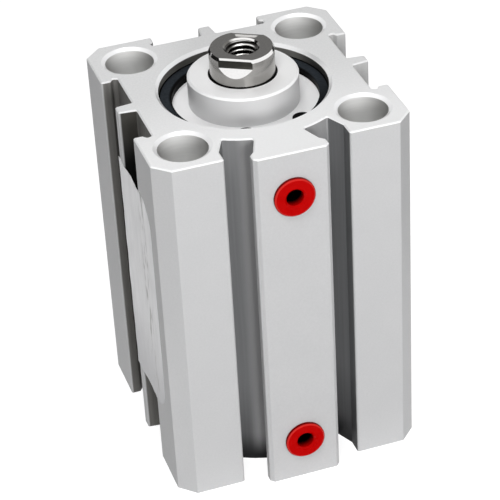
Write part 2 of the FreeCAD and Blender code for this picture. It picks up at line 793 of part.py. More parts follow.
def piston_screw():
    """A low socket head screw that clamps both piston halves to the rod."""
    head, shank = "screw_head / 2", "screw_shank / 2"
    body = turned("piston_screw", [
        ("0", "-screw_head_height"),
        (f"{head} - cover_chamfer", "-screw_head_height"),
        (head, "cover_chamfer - screw_head_height"),
        (head, "0"),
        (shank, "0"),
        (shank, "screw_length - cover_chamfer"),
        (f"{shank} - cover_chamfer", "screw_length"),
        ("0", "screw_length"),
    ], f"{PISTON_BASE} + {SCREW_SEAT}")
    sides = 6
    corner = "screw_socket / 2 / cos(30 deg)"
    hexagon = [(f"{corner} * cos({60 * i} deg)", f"{corner} * sin({60 * i} deg)") for i in range(sides)]
    sketch = loops(body, "socket_profile", "XY_Plane", [hexagon])
    sketch.setExpression(".AttachmentOffset.Base.z", formula("-screw_head_height"))
    before = body.Shape.Volume
    socket = body.newObject("PartDesign::Pocket", "socket")
    socket.Profile = sketch
    socket.Reversed = True
    socket.setExpression("Length", formula("screw_socket_depth"))
    doc.recompute()
    if body.Shape.Volume >= before:
        raise RuntimeError("socket cut nothing")


def piston_pieces():
    piston_rear()
    piston_front()
    piston_screw()
    seal_near, seal_far = f"{SEAL_FLOOR} + run_gap", "bore / 2 - run_gap"
    rear_place = f"{PISTON_BASE} + groove_land + run_gap"
    front_place = f"{PISTON_TOP} - groove_land - run_gap - seal_height"
    cup_seal("piston_seal_rear", seal_near, seal_far, "seal_height", "seal_lip", rear_place, False)
    cup_seal("piston_seal_front", seal_near, seal_far, "seal_height", "seal_lip", front_place, True)
    wear_ring()
    ring("piston_magnet", "magnet_inner / 2", MAGNET_OUTER, "magnet_height", PISTON_JOINT)
    ring("rear_bumper", BUMPER_INNER, BUMPER_OUTER, "bumper_thickness", f"{PISTON_BASE} - bumper_proud")
    ring("front_bumper", BUMPER_INNER, BUMPER_OUTER, "bumper_thickness", f"{PISTON_TOP} - {BUMPER_SINK}")
    o_ring("piston_o_ring", f"{SPIGOT_HOLE} + o_ring_gap + spigot_o_ring / 2", "spigot_o_ring",
           f"{PISTON_JOINT} + {SPIGOT_RING_ROOM} / 2")


def front_pieces():
    rod_cover()
    rod_bush()
    seal_outer = f"{BUSH_BORE} + rod_seal_wall - fit_gap"
    seal_height = "(rod_seal_height - 2 * fit_gap)"
    seal_place = f"{FRONT_LEDGE} + {ROD_SEAL_TOP} - rod_seal_height + fit_gap"
    cup_seal("rod_seal", BUSH_BORE, seal_outer, seal_height, "rod_seal_lip", seal_place, False)
    o_ring("rod_cover_o_ring", O_RING_CENTRE, "o_ring_section", f"{FRONT_LEDGE} + {COVER_HEIGHT} / 2")
    circlip("front_circlip", f"{BODY_LENGTH} - cover_recess")


def rear_pieces():
    rear_cover()
    o_ring("rear_cover_o_ring", O_RING_CENTRE, "o_ring_section", f"cover_recess + {COVER_HEIGHT} / 2")
    circlip("rear_circlip", "cover_recess - circlip_thickness")


def check_pieces():
    """Every object of the document is sound, and every piece is one valid solid."""
    for thing in doc.Objects:
        if "Invalid" in thing.State or "Error" in thing.State:
            raise RuntimeError(f"{thing.Label} failed: {thing.State}")
    for piece in pieces:
        if piece.Shape.isNull() or not piece.Shape.isValid() or len(piece.Shape.Solids) != 1:
            raise RuntimeError(f"{piece.Label} is not one valid solid")


def write_pieces():
    os.makedirs("parts", exist_ok=True)
    for piece in pieces:
        piece.Shape.exportStep(f"parts/{piece.Label}.step")
        box = piece.Shape.BoundBox
        print(f"{piece.Label}: {piece.Shape.Volume:.1f} mm3, z {box.ZMin:.2f} to {box.ZMax:.2f}")


fill_sheet()
cylinder_body()
front_pieces()
rear_pieces()
piston_rod()
piston_pieces()
port_plug("port_plug_upper", f"{BODY_LENGTH} - port_inset")
port_plug("port_plug_lower", "port_inset")
doc.recompute()
check_pieces()
write_pieces()
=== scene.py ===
"""Looks of a compact pneumatic cylinder: finishes, cut threads, a bare foil sticker and a studio."""

import json
import math

import bmesh
import bpy
from mathutils import Matrix, Vector, noise

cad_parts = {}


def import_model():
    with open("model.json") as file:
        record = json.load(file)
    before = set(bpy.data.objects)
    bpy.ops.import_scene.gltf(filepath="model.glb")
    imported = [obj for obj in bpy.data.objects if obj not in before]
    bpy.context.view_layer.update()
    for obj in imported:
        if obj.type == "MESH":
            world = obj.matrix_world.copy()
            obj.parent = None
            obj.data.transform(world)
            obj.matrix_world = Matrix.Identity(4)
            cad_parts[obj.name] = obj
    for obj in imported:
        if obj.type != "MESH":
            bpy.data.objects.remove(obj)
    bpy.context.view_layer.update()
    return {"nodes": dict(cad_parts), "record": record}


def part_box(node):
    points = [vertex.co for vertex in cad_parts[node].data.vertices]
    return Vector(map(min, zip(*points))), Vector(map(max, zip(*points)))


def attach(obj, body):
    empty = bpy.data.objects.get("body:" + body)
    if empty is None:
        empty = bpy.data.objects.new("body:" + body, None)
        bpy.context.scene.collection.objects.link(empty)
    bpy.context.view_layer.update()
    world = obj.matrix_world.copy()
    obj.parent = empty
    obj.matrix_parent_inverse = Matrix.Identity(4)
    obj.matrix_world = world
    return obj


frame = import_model()
nodes = frame["nodes"]

MM = 0.001

# Sizes taken from the frame, in metres.
barrel_low, barrel_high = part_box("cylinder_body")
BARREL_TOP = barrel_high.z
BARREL_HALF = barrel_high.x
PORT_FACE = -barrel_low.y
rod_low, rod_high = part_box("piston_rod")
ROD_TOP = rod_high.z
ROD_RADIUS = (rod_high.x - rod_low.x) / 2
plug_low, plug_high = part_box("port_plug_upper")
PLUG_FACE = -plug_low.y
PLUG_RADIUS = plug_high.x
mounts = {mount["name"]: mount for mount in frame["record"]["mounts"]}
BOLT_OFFSET = mounts["front_threads"]["dims"]["spacing_x_mm"] * MM / 2
BOLT_THREAD_RADIUS = mounts["front_threads"]["dims"]["hole_r_mm"] * MM
BOLT_HEAD_RADIUS = mounts["front_head_bores"]["dims"]["hole_r_mm"] * MM
BOLT_THREAD_TOP = mounts["front_threads"]["pos_m"][2]
BOLT_THREAD_END = mounts["through_holes"]["pos_m"][2]
ROD_THREAD_RADIUS = mounts["rod_thread"]["dims"]["r_mm"] * MM
ROD_THREAD_LENGTH = mounts["rod_thread"]["dims"]["length_mm"] * MM
PORT_RADIUS = mounts["upper_port"]["dims"]["r_mm"] * MM
PORT_LENGTH = mounts["upper_port"]["dims"]["length_mm"] * MM
PORT_HEIGHTS = [mounts[name]["pos_m"][2] for name in ("upper_port", "lower_port")]

# Sizes that the frame does not list, in metres.
ROD_CHAMFER, ROD_CHAMFER_HEIGHT = 0.25 * MM, 0.5 * MM
ROD_MOUTH_RADIUS = 2.8 * MM
WIPER_RADIUS = ROD_RADIUS + 0.25 * MM
BORE_RADIUS = 13.0 * MM
BORE_MOUTH_RADIUS = 13.5 * MM
BOLT_MOUTH_RADIUS = BOLT_HEAD_RADIUS + 0.6 * MM
POST_SIDE = 10.0 * MM
PLUG_HOLE_RADIUS = 1.35 * MM
PLUG_BEVEL = 0.3 * MM
M5_PITCH, M6_PITCH = 0.8 * MM, 1.0 * MM

# The wrench flats of the rod face this way and the opposite way.
ROD_FLAT_TURN = math.radians(59)
ROD_FLAT_WAY = (math.cos(ROD_FLAT_TURN), math.sin(ROD_FLAT_TURN))
# How squarely a sector of the rod's end has to face the flats, to take the painted highlight or to dip.
HIGHLIGHT_SECTOR, DIP_SECTOR = (0.50, 0.85), (0.84, 0.94)
# The rod's thread starts this way.
ROD_THREAD_TURN = math.radians(172)

# How far a zone reaches past its face; the rod's zones lie closer together.
SKIN = 0.05 * MM
ROD_SKIN, ROD_CONE_SKIN = 0.01 * MM, 0.04 * MM

# How squarely a face has to look along an axis to count as upright, level or forward.
UPRIGHT, COVER_UPRIGHT, FULLY_LEVEL = 0.1, 0.3, 0.9
LEVEL_FACE, FORWARD_FACE = (0.5, 0.65), (0.7, 0.9)

# Where a painted shade or painted light of the barrel comes in: nothing at the first place, full at the
# second.
RECESS_DEPTHS = (0.1 * MM, 0.4 * MM)
CHANNEL_RISE = (0.0, 0.3 * BARREL_TOP)
CHANNEL_FOOT = (6 * MM, 0.5 * MM)
CHANNEL_HEAD = (BARREL_TOP - 7 * MM, BARREL_TOP)
FILM_SHADE_FOOT, FILM_SHADE_HEAD = (14 * MM, 20 * MM), (51 * MM, 57 * MM)
FILM_WALL_RISE = (20 * MM, 35 * MM)
RIB_SIDE = (6.9 * MM, 5.2 * MM)
BORE_SIDE = (10.5 * MM, 12.8 * MM)
PORT_SIDE = (4 * MM, -18 * MM)
# The share of the painted light at the channel's head, left of the rib and right of it.
HEAD_SHARES = (0.2, 1.0)

# Camera, fitted to the photograph: angles in radians, lengths in metres, focal length in pixels.
CAMERA_AZIMUTH = -0.29537
CAMERA_ELEVATION = 0.59159
CAMERA_ROLL = -0.05834
CAMERA_DISTANCE = 0.31654
CAMERA_FOCAL = 2087.2
CAMERA_RIGHT = 0.00101
CAMERA_UP = -0.02528
CAMERA_CLIP = 0.01
IMAGE_SIZE = 500
SENSOR_WIDTH = 36.0

WHITE, BLACK = (1, 1, 1, 1), (0, 0, 0, 1)
NO_STRETCH = (1, 1, 1)
LINE_DETAIL = 2.0
# Where a Mix node keeps its first input, its second input and its result.
MIX_PLACES = {"VECTOR": (4, 5, 1), "RGBA": (6, 7, 2)}


def shader(name, settings):
    """A new material, its node tree and its main shader with some plain settings."""
    made = bpy.data.materials.new(name)
    made.use_nodes = True
    tree = made.node_tree
    bsdf = tree.nodes["Principled BSDF"]
    for socket, setting in settings.items():
        bsdf.inputs[socket].default_value = setting
    return made, tree, bsdf


def link(tree, source, target):
    """A link from an output to an input."""
    tree.links.new(source, target)


def math_node(tree, operation, first, second=None):
    """A Math node on sockets or plain numbers."""
    node = tree.nodes.new("ShaderNodeMath")
    node.operation = operation
    for index, entry in enumerate((first, second)):
        if isinstance(entry, bpy.types.NodeSocket):
            link(tree, entry, node.inputs[index])
        elif entry is not None:
            node.inputs[index].default_value = entry
    return node.outputs[0]


def plus(tree, first, second):
    """The sum of two numbers."""
    return math_node(tree, "ADD", first, second)


def minus(tree, first, second):
    """The first number less the second."""
    return math_node(tree, "SUBTRACT", first, second)


def times(tree, number, *others):
    """The product of some numbers."""
    for other in others:
        number = math_node(tree, "MULTIPLY", number, other)
    return number


def largest(tree, number, *others):
    """The largest of some numbers."""
    for other in others:
        number = math_node(tree, "MAXIMUM", number, other)
    return number


def size_of(tree, number):
    """A number without its sign."""
    return math_node(tree, "ABSOLUTE", number)


def below(tree, number, limit):
    """1 where a number is less than a limit, else 0."""
    return math_node(tree, "LESS_THAN", number, limit)


def above(tree, number, limit):
    """1 where a number is more than a limit, else 0."""
    return math_node(tree, "GREATER_THAN", number, limit)


def step_up(tree, number, low, high):
    """0 on the far side of one number, 1 on the far side of another, smooth between."""
    ranged = tree.nodes.new("ShaderNodeMapRange")
    ranged.interpolation_type = "SMOOTHSTEP"
    ranged.inputs["From Min"].default_value = low
    ranged.inputs["From Max"].default_value = high
    link(tree, number, ranged.inputs["Value"])
    return ranged.outputs["Result"]


def band(tree, number, rise, fall):
    """1 between a rise and a fall, 0 outside; each is a pair of numbers, smooth between."""
    return minus(tree, step_up(tree, number, *rise), step_up(tree, number, *fall))


def spread(tree, fac, low, high):
    """A value from 0 to 1 spread between two numbers."""
    ranged = tree.nodes.new("ShaderNodeMapRange")
    ranged.inputs["To Min"].default_value = low
    ranged.inputs["To Max"].default_value = high
    link(tree, fac, ranged.inputs["Value"])
    return ranged.outputs["Result"]


def shifted(tree, number, share, change):
    """A number changed by some amount where the share is 1."""
    return plus(tree, number, times(tree, share, change))


def square(tree, number):
    """A number times itself."""
    return math_node(tree, "POWER", number, 2.0)


def root(tree, number):
    """The square root of a number."""
    return math_node(tree, "SQRT", number)


def reach(tree, across, along):
    """Distance from the origin of a plane."""
    return root(tree, plus(tree, square(tree, across), square(tree, along)))


def object_place(tree, stretch=NO_STRETCH):
    """Object coordinates, stretched along each axis."""
    place = tree.nodes.new("ShaderNodeTexCoord")
    mapping = tree.nodes.new("ShaderNodeMapping")
    mapping.inputs["Scale"].default_value = stretch
    link(tree, place.outputs["Object"], mapping.inputs["Vector"])
    return mapping.outputs["Vector"]


def noise_value(tree, scale, stretch=NO_STRETCH, detail=LINE_DETAIL):
    """Noise in object coordinates, from 0 to 1."""
    texture = tree.nodes.new("ShaderNodeTexNoise")
    texture.inputs["Scale"].default_value = scale
    texture.inputs["Detail"].default_value = detail
    link(tree, object_place(tree, stretch), texture.inputs["Vector"])
    return texture.outputs["Fac"]


def ring_value(tree, scale, distortion):
    """Turning lines: rings about the Z axis."""
    texture = tree.nodes.new("ShaderNodeTexWave")
    texture.wave_type = "RINGS"
    texture.rings_direction = "Z"
    texture.inputs["Scale"].default_value = scale
    texture.inputs["Distortion"].default_value = distortion
    texture.inputs["Detail"].default_value = LINE_DETAIL
    link(tree, object_place(tree), texture.inputs["Vector"])
    return texture.outputs["Fac"]


def two_colours(tree, fac, first, second):
    """A value from 0 to 1 as a colour between two."""
    ramp = tree.nodes.new("ShaderNodeValToRGB")
    ramp.color_ramp.elements[0].color = (*first, 1)
    ramp.color_ramp.elements[1].color = (*second, 1)
    link(tree, fac, ramp.inputs["Fac"])
    return ramp.outputs["Color"]


def mixed(tree, kind, share, first, second):
    """One entry where the share is 0, another where it is 1; each a socket or a plain colour."""
    mix = tree.nodes.new("ShaderNodeMix")
    mix.data_type = kind
    link(tree, share, mix.inputs["Factor"])
    first_place, second_place, result = MIX_PLACES[kind]
    for index, entry in ((first_place, first), (second_place, second)):
        if isinstance(entry, bpy.types.NodeSocket):
            link(tree, entry, mix.inputs[index])
        else:
            mix.inputs[index].default_value = (*entry, 1)
    return mix.outputs[result]


def mixed_vector(tree, share, first, second):
    """One vector where the share is 0, another where it is 1."""
    return mixed(tree, "VECTOR", share, first, second)


def mixed_colour(tree, share, first, second):
    """One colour where the share is 0, another where it is 1."""
    return mixed(tree, "RGBA", share, first, second)


def layered(tree, zones, colour, layers):
    """A colour with those of some zones laid over it, one after another."""
    for zone, tone in layers:
        colour = mixed_colour(tree, zones[zone], colour, tone)
    return colour


def bump(tree, bsdf, heights, normal=None):
    """A chain of bumps on a normal: pairs of height and depth in metres."""
    for height, depth in heights:
        node = tree.nodes.new("ShaderNodeBump")
        node.inputs["Distance"].default_value = depth
        link(tree, height, node.inputs["Height"])
        if normal is not None:
            link(tree, normal, node.inputs["Normal"])
        normal = node.outputs["Normal"]
    link(tree, normal, bsdf.inputs["Normal"])


def paint(tree, bsdf, colour, roughness, heights, normal=None):
    """Give a shader its colour, roughness and bumps."""
    link(tree, colour, bsdf.inputs["Base Color"])
    link(tree, roughness, bsdf.inputs["Roughness"])
    bump(tree, bsdf, heights, normal)


def vector_node(tree, operation, *vectors):
    """A Vector Math node on sockets."""
    node = tree.nodes.new("ShaderNodeVectorMath")
    node.operation = operation
    for index, vector in enumerate(vectors):
        link(tree, vector, node.inputs[index])
    return node.outputs["Vector"]


def parts_of(tree, vector):
    """The three parts of a vector."""
    split = tree.nodes.new("ShaderNodeSeparateXYZ")
    link(tree, vector, split.inputs["Vector"])
    return split.outputs["X"], split.outputs["Y"], split.outputs["Z"]


def joined(tree, *parts):
    """A vector from its parts; a part left out is 0."""
    node = tree.nodes.new("ShaderNodeCombineXYZ")
    for index, part in enumerate(parts):
        link(tree, part, node.inputs[index])
    return node.outputs["Vector"]


def place_parts(tree):
    """Object coordinates as three numbers."""
    place = tree.nodes.new("ShaderNodeTexCoord")
    return parts_of(tree, place.outputs["Object"])


def other_axes(tree, normal, source, target):
    """A normal turned from one set of axes into another."""
    turn = tree.nodes.new("ShaderNodeVectorTransform")
    turn.vector_type = "NORMAL"
    turn.convert_from = source
    turn.convert_to = target
    link(tree, normal, turn.inputs["Vector"])
    return turn.outputs["Vector"]


def in_world(tree, normal):
    """A normal in the object's axes, turned into the world's."""
    return other_axes(tree, normal, "OBJECT", "WORLD")


def true_normal(tree):
    """The face normal, in the object's own axes."""
    geometry = tree.nodes.new("ShaderNodeNewGeometry")
    return other_axes(tree, geometry.outputs["True Normal"], "WORLD", "OBJECT")


def forward_share(tree):
    """How squarely a face looks along the Y axis, either way."""
    _, forward, _ = parts_of(tree, true_normal(tree))
    return size_of(tree, forward)


def upward_share(tree):
    """How squarely a face looks along the bore axis, either way."""
    geometry = tree.nodes.new("ShaderNodeNewGeometry")
    _, _, upward = parts_of(tree, geometry.outputs["True Normal"])
    return size_of(tree, upward)


def turned_normal(tree, across, along):
    """The normal of a face turned about an upright axis: smooth round the axis, true along it."""
    x, y, z = parts_of(tree, true_normal(tree))
    away = plus(tree, times(tree, x, across), times(tree, y, along))
    level = root(tree, minus(tree, 1.0, square(tree, z)))
    outward = times(tree, level, math_node(tree, "SIGN", away))
    share = math_node(tree, "DIVIDE", outward, reach(tree, across, along))
    return joined(tree, times(tree, across, share), times(tree, along, share), z)


def lathe_normal(tree):
    """The normal of a piece turned about the bore axis."""
    x, y, _ = place_parts(tree)
    return in_world(tree, turned_normal(tree, x, y))


def rod_zones(tree):
    """Shares of the rod's zones: its side, end face, chamfer, wrench flats, hole and countersink."""
    x, y, z = place_parts(tree)
    from_axis = reach(tree, x, y)
    inward = minus(tree, ROD_RADIUS, from_axis)
    cone_rise = times(tree, inward, ROD_CHAMFER_HEIGHT / ROD_CHAMFER)
    rise = minus(tree, z, ROD_TOP - ROD_CHAMFER_HEIGHT)
    off_cone = size_of(tree, minus(tree, cone_rise, rise))
    side = below(tree, inward, ROD_SKIN)
    hole = below(tree, from_axis, ROD_THREAD_RADIUS + SKIN)
    level = upward_share(tree)
    not_round = minus(tree, 1.0, largest(tree, side, hole))
    return {
        "side": side,
        "end": above(tree, level, FULLY_LEVEL),
        "chamfer": below(tree, off_cone, ROD_CONE_SKIN),
        "flat": times(tree, below(tree, level, UPRIGHT), not_round),
        "hole": hole,
        "countersink": below(tree, from_axis, ROD_MOUTH_RADIUS + ROD_SKIN),
    }


def toward_flats(tree):
    """Distance from the rod's axis toward its wrench flats."""
    x, y, _ = place_parts(tree)
    across, along = ROD_FLAT_WAY
    return plus(tree, times(tree, x, across), times(tree, y, along))


def flat_sector(tree, low, high):
    """1 in the sectors that face the wrench flats, 0 between them."""
    x, y, _ = place_parts(tree)
    share = math_node(tree, "DIVIDE", size_of(tree, toward_flats(tree)), reach(tree, x, y))
    return step_up(tree, share, low, high)


def end_dip(tree, zones):
    """The slight slope of the rod's end face next to one wrench flat, as a change of its normal."""
    slope = 0.22
    rise, fall = (2.85 * MM, 3.05 * MM), (3.5 * MM, 3.9 * MM)
    sector = flat_sector(tree, *DIP_SECTOR)
    share = times(tree, band(tree, toward_flats(tree), rise, fall), times(tree, sector, zones["end"]))
    tilt = times(tree, share, slope)
    return joined(tree, *[times(tree, tilt, part) for part in ROD_FLAT_WAY])


def rod_normal(tree, zones):
    """Turned faces of the rod, plane wrench flats with their run-outs, and a dipping end face."""
    x, y, _ = place_parts(tree)
    turned = largest(tree, zones["side"], zones["chamfer"], zones["countersink"])
    plain = mixed_vector(tree, turned, true_normal(tree), turned_normal(tree, x, y))
    dipped = vector_node(tree, "ADD", plain, end_dip(tree, zones))
    return in_world(tree, vector_node(tree, "NORMALIZE", dipped))


def barrel_normal(tree, zones):
    """Plane faces outside, turned faces in the bore and the corner holes."""
    x, y, _ = place_parts(tree)
    offsets = []
    for place in (x, y):
        centre = times(tree, math_node(tree, "SIGN", place), BOLT_OFFSET)
        offsets.append(minus(tree, place, centre))
    normal = mixed_vector(tree, zones["hole mouth"], true_normal(tree), turned_normal(tree, *offsets))
    return in_world(tree, mixed_vector(tree, zones["bore mouth"], normal, turned_normal(tree, x, y)))


def barrel_zones(tree):
    """Shares of the barrel's zones: recesses and the places of their painted shade and painted light,
    corner holes, bore and end faces.
    """
    x, y, z = place_parts(tree)
    across, along = size_of(tree, x), size_of(tree, y)
    beside_hole = minus(tree, along, BOLT_OFFSET)
    from_hole = reach(tree, minus(tree, across, BOLT_OFFSET), beside_hole)
    from_axis = reach(tree, across, along)
    hole_mouth = below(tree, from_hole, BOLT_MOUTH_RADIUS + SKIN)
    bore_mouth = below(tree, from_axis, BORE_MOUTH_RADIUS + SKIN)
    mouth = largest(tree, hole_mouth, bore_mouth)
    hole = below(tree, from_hole, BOLT_HEAD_RADIUS + SKIN)
    bore = below(tree, from_axis, BORE_RADIUS + SKIN)
    between_posts = below(tree, math_node(tree, "MINIMUM", across, along), POST_SIDE)
    depth = minus(tree, BARREL_HALF, largest(tree, across, along))
    deep = times(tree, step_up(tree, depth, *RECESS_DEPTHS), between_posts)
    level = upward_share(tree)
    sloped = below(tree, largest(tree, hole, bore, level), FULLY_LEVEL)
    forward = step_up(tree, forward_share(tree), *FORWARD_FACE)
    head = times(tree, step_up(tree, z, *CHANNEL_HEAD), forward)
    film_slot = below(tree, largest(tree, x, y), 0.0)
    return {
        "recess": times(tree, deep, minus(tree, 1.0, mouth)),
        "channel": below(tree, y, -POST_SIDE),
        "left": below(tree, x, -POST_SIDE),
        "height": step_up(tree, z, *CHANNEL_RISE),
        "foot": step_up(tree, z, *CHANNEL_FOOT),
        "head": times(tree, head, spread(tree, above(tree, x, 0.0), *HEAD_SHARES)),
        "hole": hole,
        "hole highlight": math_node(tree, "DIVIDE", size_of(tree, beside_hole), from_hole),
        "hole mouth": hole_mouth,
        "bore": bore,
        "bore mouth": bore_mouth,
        "mouth": times(tree, mouth, sloped),
        "behind film": times(tree, band(tree, z, FILM_SHADE_FOOT, FILM_SHADE_HEAD), film_slot),
        "film slot wall": times(tree, forward, film_slot, step_up(tree, z, *FILM_WALL_RISE)),
        "beside rib": step_up(tree, across, *RIB_SIDE),
        "bore side": step_up(tree, across, *BORE_SIDE),
        "end": step_up(tree, level, *LEVEL_FACE),
        "port side": step_up(tree, y, *PORT_SIDE),
    }


def barrel_aluminium():
    """Satin anodised outer faces, recesses with painted shade and painted light, end faces machined
    flat and painted lighter toward the ports, corner holes from a drill with painted highlights and
    shade, and a bore finished by honing and painted dark as shade.
    """
    made, tree, bsdf = shader("barrel_aluminium", {"Specular IOR Level": 0.08})
    zones = barrel_zones(tree)
    link(tree, spread(tree, zones["mouth"], 0.10, 0.60), bsdf.inputs["Metallic"])
    grain = noise_value(tree, scale=3200.0, detail=3.0)
    clouds = noise_value(tree, scale=180.0, detail=4.0)
    drawn = noise_value(tree, scale=2200.0, stretch=(1, 1, 0.02))
    turned = noise_value(tree, scale=2600.0, stretch=(0.04, 0.04, 1), detail=3.0)
    satin = two_colours(tree, clouds, (0.565, 0.568, 0.575), (0.60, 0.60, 0.605))
    satin = mixed_colour(tree, spread(tree, grain, 0.0, 0.24), satin, (0.34, 0.34, 0.345))
    # Painted shade: the port channels are dark, darker toward the bottom.
    low_channel = two_colours(tree, drawn, (0.08, 0.08, 0.083), (0.12, 0.12, 0.123))
    high_channel = two_colours(tree, drawn, (0.165, 0.168, 0.172), (0.23, 0.233, 0.238))
    channel = mixed_colour(tree, zones["height"], low_channel, high_channel)
    # Painted light beside the rib and at the channel's head, painted shadow at its foot.
    channel = layered(tree, zones, channel, (
        ("beside rib", (0.36, 0.36, 0.365)),
        ("foot", (0.012, 0.012, 0.013)),
        ("head", (0.38, 0.38, 0.385)),
    ))
    # Painted shade: the slots of the left face are dark, darker on their forward walls and black behind
    # the film.
    left_slot = two_colours(tree, drawn, (0.13, 0.127, 0.12), (0.22, 0.215, 0.205))
    left_slot = layered(tree, zones, left_slot, (
        ("film slot wall", (0.065, 0.062, 0.056)),
        ("behind film", (0.012, 0.012, 0.012)),
    ))
    slot = two_colours(tree, drawn, (0.50, 0.50, 0.50), (0.62, 0.62, 0.62))
    # The recesses keep their own tone on the right and back; the left slots and the port channels carry
    # painted shade.
    recess = layered(tree, zones, slot, (("left", left_slot), ("channel", channel)))
    # Painted highlight and shade: the corner holes' walls are light toward the front and back and dark
    # toward the sides.
    hole_highlight = square(tree, zones["hole highlight"])
    hole_painted_light = two_colours(tree, hole_highlight, (0.42, 0.415, 0.405), (0.98, 0.98, 0.97))
    hole_painted_light = mixed_colour(tree, spread(tree, turned, 0.0, 0.3), hole_painted_light, (0.45, 0.45, 0.44))
    # Painted shade: the bore wall is dark, darker still toward its left and right.
    bore_painted_shade = two_colours(tree, turned, (0.13, 0.127, 0.12), (0.20, 0.197, 0.185))
    bore_painted_shade = mixed_colour(tree, zones["bore side"], bore_painted_shade, (0.05, 0.049, 0.047))
    # Painted light and shade: the end faces are lighter toward the ports and darker toward the back.
    milled_painted_shade_back = two_colours(tree, grain, (0.72, 0.725, 0.73), (0.87, 0.87, 0.87))
    milled_painted_light_front = two_colours(tree, grain, (0.90, 0.905, 0.91), (0.98, 0.98, 0.98))
    milled_painted_shade = mixed_colour(tree, zones["port side"], milled_painted_shade_back, milled_painted_light_front)
    colour = layered(tree, zones, satin, (
        ("recess", recess),
        ("hole", hole_painted_light),
        ("bore", bore_painted_shade),
        ("end", milled_painted_shade),
        ("mouth", (0.88, 0.88, 0.885)),
    ))
    roughness = shifted(tree, spread(tree, grain, 0.42, 0.56), zones["mouth"], -0.15)
    heights = [(grain, 0.008 * MM), (drawn, 0.004 * MM)]
    paint(tree, bsdf, colour, roughness, heights, barrel_normal(tree, zones))
    return made


def cover_aluminium():
    """Fine turned aluminium, darker on upright faces, with painted shade in the wiper gap."""
    made, tree, bsdf = shader("cover_aluminium", {"Metallic": 0.15, "Specular IOR Level": 0.15})
    x, y, z = place_parts(tree)
    lines = ring_value(tree, scale=1200.0, distortion=1.0)
    clouds = noise_value(tree, scale=300.0, detail=3.0)
    near_rod = below(tree, reach(tree, x, y), WIPER_RADIUS + SKIN)
    zones = {
        "upright": below(tree, upward_share(tree), COVER_UPRIGHT),
        "wiper gap": times(tree, near_rod, above(tree, z, BARREL_TOP / 2)),
    }
    turned = two_colours(tree, clouds, (0.92, 0.92, 0.925), (0.97, 0.97, 0.97))
    # Painted shade: the cover is black in the wiper gap round the rod.
    tones = (("upright", (0.74, 0.74, 0.745)), ("wiper gap", (0.003, 0.003, 0.003)))
    colour = layered(tree, zones, turned, tones)
    roughness = spread(tree, lines, 0.30, 0.42)
    paint(tree, bsdf, colour, roughness, [(lines, 0.004 * MM)], lathe_normal(tree))
    return made


def rod_steel():
    """Ground and polished hard chrome with a turned end and wrench flats from a milling cutter; its
    side is darker as painted reflection, its flats and hole are near black as painted shade, and its
    countersink has a painted highlight toward the flats and painted shade beside them.
    """
    made, tree, bsdf = shader("rod_steel", {"Metallic": 1.0})
    zones = rod_zones(tree)
    lines = noise_value(tree, scale=3000.0, stretch=(0.1, 0.1, 1.0))
    clouds = noise_value(tree, scale=500.0, detail=3.0)
    grain = noise_value(tree, scale=3500.0, detail=3.0)
    polished = two_colours(tree, grain, (0.86, 0.85, 0.84), (0.95, 0.945, 0.94))
    # Painted reflection: the rod's side is darker than its chrome elsewhere.
    side_painted_shade = two_colours(tree, clouds, (0.30, 0.293, 0.28), (0.39, 0.38, 0.366))
    # Painted highlight and shade: the countersink is bright in the sectors toward the flats and dark
    # between them.
    painted_highlight = flat_sector(tree, *HIGHLIGHT_SECTOR)
    countersink_painted_light = mixed_colour(tree, painted_highlight, (0.16, 0.155, 0.145), (0.95, 0.94, 0.93))
    faced = two_colours(tree, grain, (0.48, 0.468, 0.45), (0.62, 0.605, 0.585))
    # Painted shade: the wrench flats are near black.
    milled_painted_shade = two_colours(tree, clouds, (0.035, 0.034, 0.030), (0.058, 0.056, 0.050))
    # Painted shade: the bore of the hole is near black.
    bored_painted_shade = two_colours(tree, clouds, (0.010, 0.010, 0.010), (0.025, 0.024, 0.022))
    tones = (("side", side_painted_shade), ("countersink", countersink_painted_light), ("end", faced), ("flat", milled_painted_shade), ("hole", bored_painted_shade))
    colour = layered(tree, zones, polished, tones)
    roughness = shifted(tree, spread(tree, lines, 0.06, 0.14), zones["side"], 0.12)
    heights = [(lines, 0.001 * MM), (grain, 0.002 * MM)]
    paint(tree, bsdf, colour, roughness, heights, rod_normal(tree, zones))
    return made


def thread_steel():
    """Cut thread in the rod end: painted highlight and painted shade in sectors on its crests, roots
    painted dark as shade below its mouth.
    """
    made, tree, bsdf = shader("thread_steel", {"Metallic": 1.0})
    root_limits = (ROD_THREAD_RADIUS - 0.36 * MM, ROD_THREAD_RADIUS - 0.18 * MM)
    mouth_limits = (ROD_TOP - 0.50 * MM, ROD_TOP - 0.30 * MM)
    x, y, z = place_parts(tree)
    cuts = noise_value(tree, scale=2500.0, stretch=(0.2, 0.2, 1.0))
    # Painted highlight and shade: the crests are bright in the sectors toward the flats and dark
    # between them.
    painted_highlight = two_colours(tree, cuts, (0.80, 0.785, 0.76), (0.93, 0.92, 0.90))
    crest = mixed_colour(tree, flat_sector(tree, *HIGHLIGHT_SECTOR), (0.10, 0.097, 0.09), painted_highlight)
    at_root = step_up(tree, reach(tree, x, y), *root_limits)
    under_mouth = minus(tree, 1.0, step_up(tree, z, *mouth_limits))
    # Painted shade: the roots below the mouth are near black.
    colour = mixed_colour(tree, times(tree, at_root, under_mouth), crest, (0.012, 0.011, 0.010))
    paint(tree, bsdf, colour, spread(tree, cuts, 0.14, 0.24), [(cuts, 0.002 * MM)])
    return made


